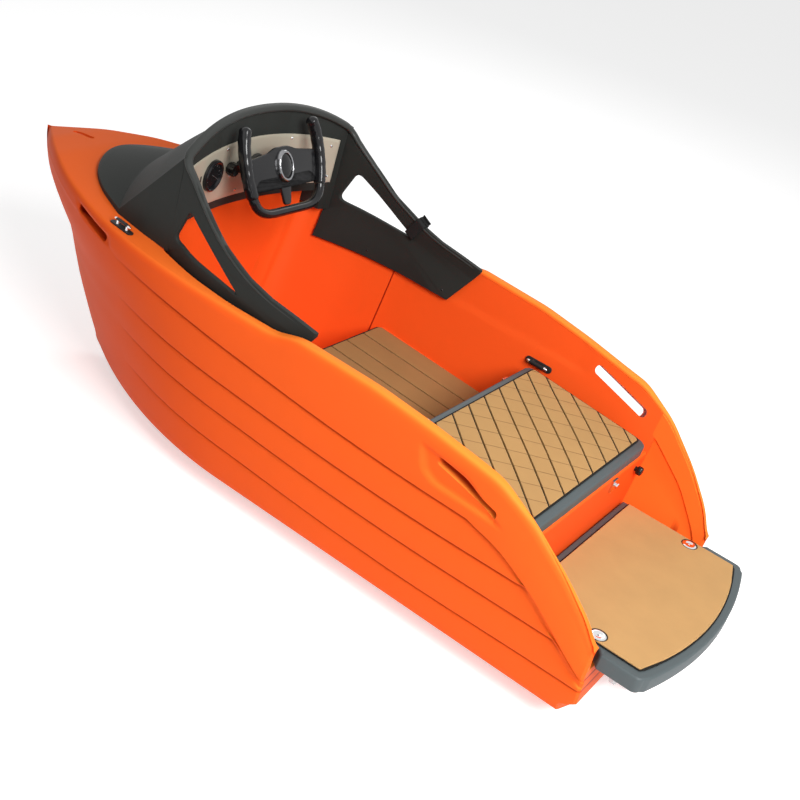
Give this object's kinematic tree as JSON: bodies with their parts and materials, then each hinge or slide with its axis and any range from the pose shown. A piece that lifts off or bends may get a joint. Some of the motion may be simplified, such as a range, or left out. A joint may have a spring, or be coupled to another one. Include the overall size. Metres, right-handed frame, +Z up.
{
  "type": "electric jet boat",
  "caption": "Small open electric jet boat: lapstrake hull with tail fins, windscreen hood, yoke wheel, hinged seat, swim platform and steerable water jet.",
  "frame": {"origin": "on the floor, midway along the boat's length and beam", "axes": "+X to the bow, +Y to port, +Z up"},
  "size_m": [2.438, 0.8822, 0.998],
  "materials": {
    "hull_orange": "semi-gloss orange moulded composite",
    "cowl_grey": "matte dark grey",
    "slab_grey": "matte blue-grey",
    "foam_tan": "matte tan closed-cell foam",
    "panel_steel": "brushed warm steel",
    "gloss_black": "gloss black",
    "matte_black": "matte black",
    "chrome": "polished",
    "cast_alloy": "cast, satin",
    "battery_case": "matte dark blue"
  },
  "bodies": {
    "boat": {"hull": "hull_orange", "cockpit_liner": "hull_orange", "cowl": "cowl_grey", "arm_band": "matte_black", "dash_panel": "panel_steel", "speed_gauge": "gloss_black", "power_knob": "gloss_black", "lights_knob": "gloss_black", "steering_column": "matte_black", "seat_hinge_fixed_port": "chrome", "seat_hinge_fixed_starboard": "chrome", "seat_latch": "chrome", "drain_knob": "gloss_black", "step_board": "matte_black", "step_foam": "foam_tan", "swim_platform": "slab_grey", "platform_foam": "foam_tan", "deck_eye_port": "chrome", "deck_eye_starboard": "chrome", "bow_cleat_port": "chrome", "bow_cleat_starboard": "chrome", "seat_cleat_port": "chrome", "seat_cleat_starboard": "chrome", "battery": "battery_case", "drive_motor": "cast_alloy", "pump_housing": "cast_alloy", "outlet_cone": "cast_alloy", "nozzle_pin_top": "chrome", "nozzle_pin_bottom": "chrome", "intake_grille": "cast_alloy"},
    "steering_wheel": {"wheel_spokes": "gloss_black", "wheel_hub": "gloss_black", "wheel_ring": "chrome", "wheel_rim": "gloss_black", "wheel_grip_port": "gloss_black", "wheel_grip_starboard": "gloss_black"},
    "nozzle": {"steering_nozzle": "cast_alloy"},
    "drive": {"drive_shaft": "chrome", "impeller": "cast_alloy"},
    "seat": {"seat_lid": "slab_grey", "seat_foam": "foam_tan", "seat_hinge_moving_port": "chrome", "seat_hinge_moving_starboard": "chrome"}
  },
  "joints": [
    {"name": "steering_turn", "type": "hinge", "parent": "boat", "child": "steering_wheel", "pos_m": [0.33, 0, 0.868], "axis": [-0.9063, 0, 0.4226], "range_deg": [-120, 120]},
    {"name": "nozzle_turn", "type": "hinge", "parent": "boat", "child": "nozzle", "pos_m": [-1.09, 0, 0.118], "axis": [0, 0, 1], "range_deg": [-24, 24]},
    {"name": "drive_spin", "type": "hinge", "parent": "boat", "child": "drive", "pos_m": [-0.9375, 0, 0.118], "axis": [1, 0, 0], "continuous": true},
    {"name": "seat_tilt", "type": "hinge", "parent": "boat", "child": "seat", "pos_m": [-0.3906, 0, 0.5044], "axis": [0, 1, 0], "range_deg": [0, 95]}
  ],
  "couplings": [
    {"joint": "nozzle_turn", "follows": "steering_turn", "ratio": -0.2}
  ]
}
